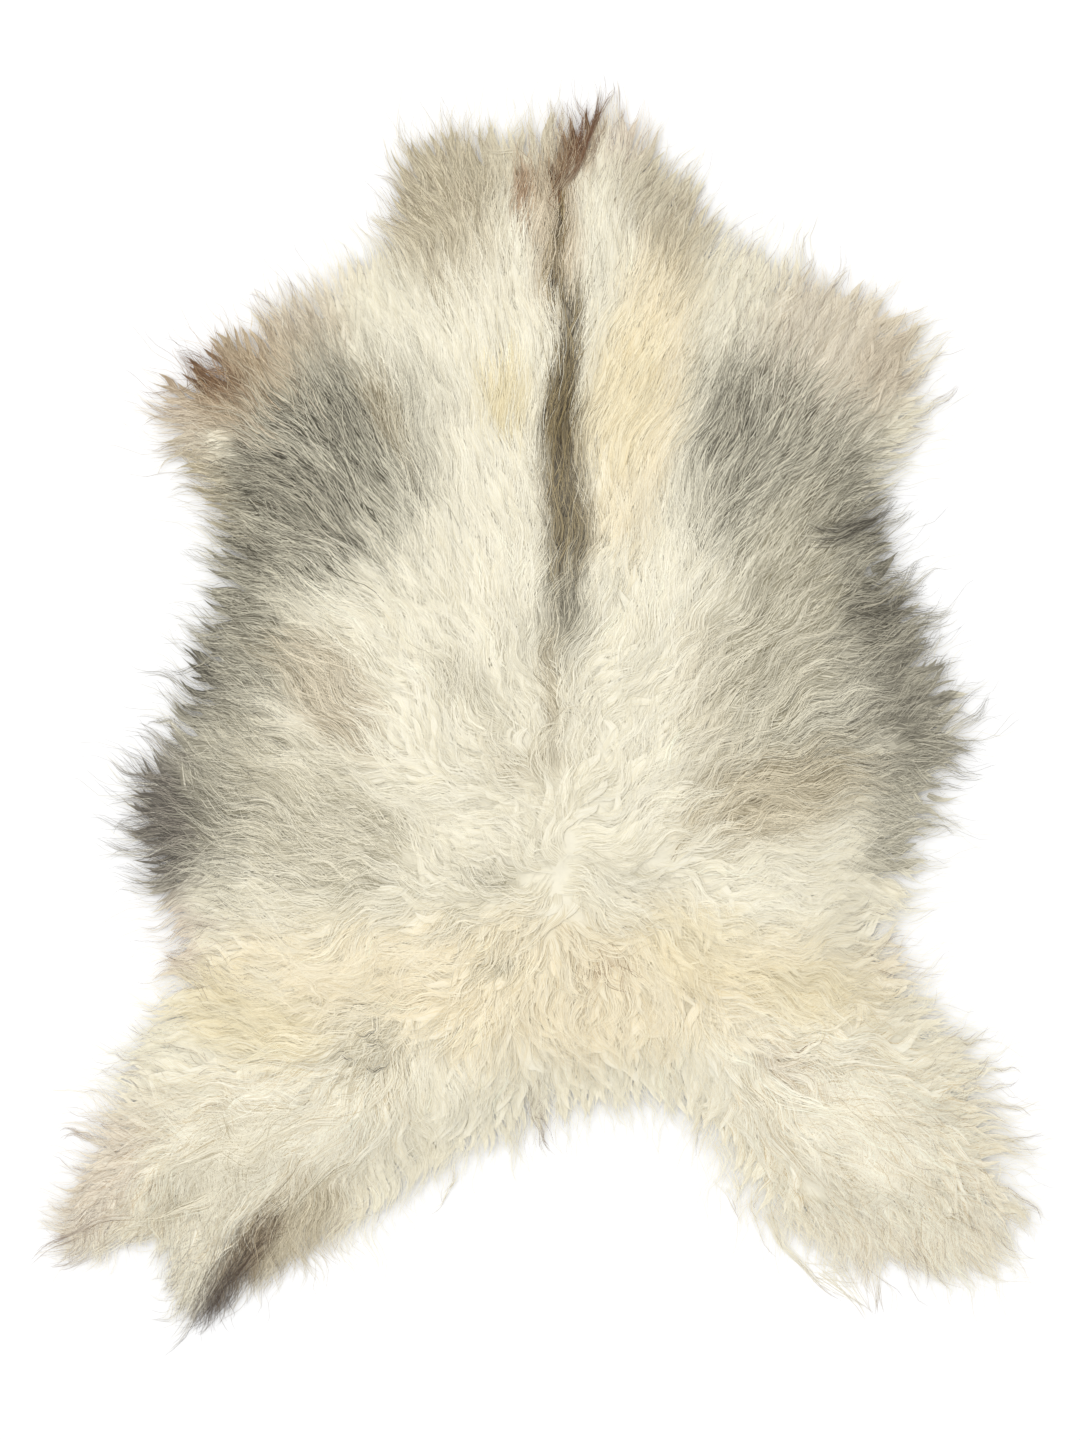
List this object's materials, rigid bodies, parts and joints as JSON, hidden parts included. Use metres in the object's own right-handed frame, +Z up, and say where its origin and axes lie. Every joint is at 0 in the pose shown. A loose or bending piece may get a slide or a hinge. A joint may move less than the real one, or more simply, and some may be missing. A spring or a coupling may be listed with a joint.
{
  "type": "icelandic sheepskin",
  "caption": "Icelandic sheepskin laid out flat with its wool up: a tanned hide under long cream, grey and tan wool, with a dark stripe along the spine and loose locks round the rim.",
  "frame": {"origin": "the middle of the skin's box in plan, on the floor that it lies on", "axes": "+Y runs along the spine towards the neck, +X towards the skin's side that is on the right with the wool up and the neck away, +Z up out of the wool"},
  "size_m": [0.8952, 1.1302, 0.0593],
  "materials": {
    "leather": "napped, undyed tanned skin",
    "wool": "long undyed wool in wavy locks, cream with grey, tan and dark brown patches"
  },
  "bodies": {
    "root": {"hide": "leather", "fleece": "wool"}
  },
  "joints": []
}
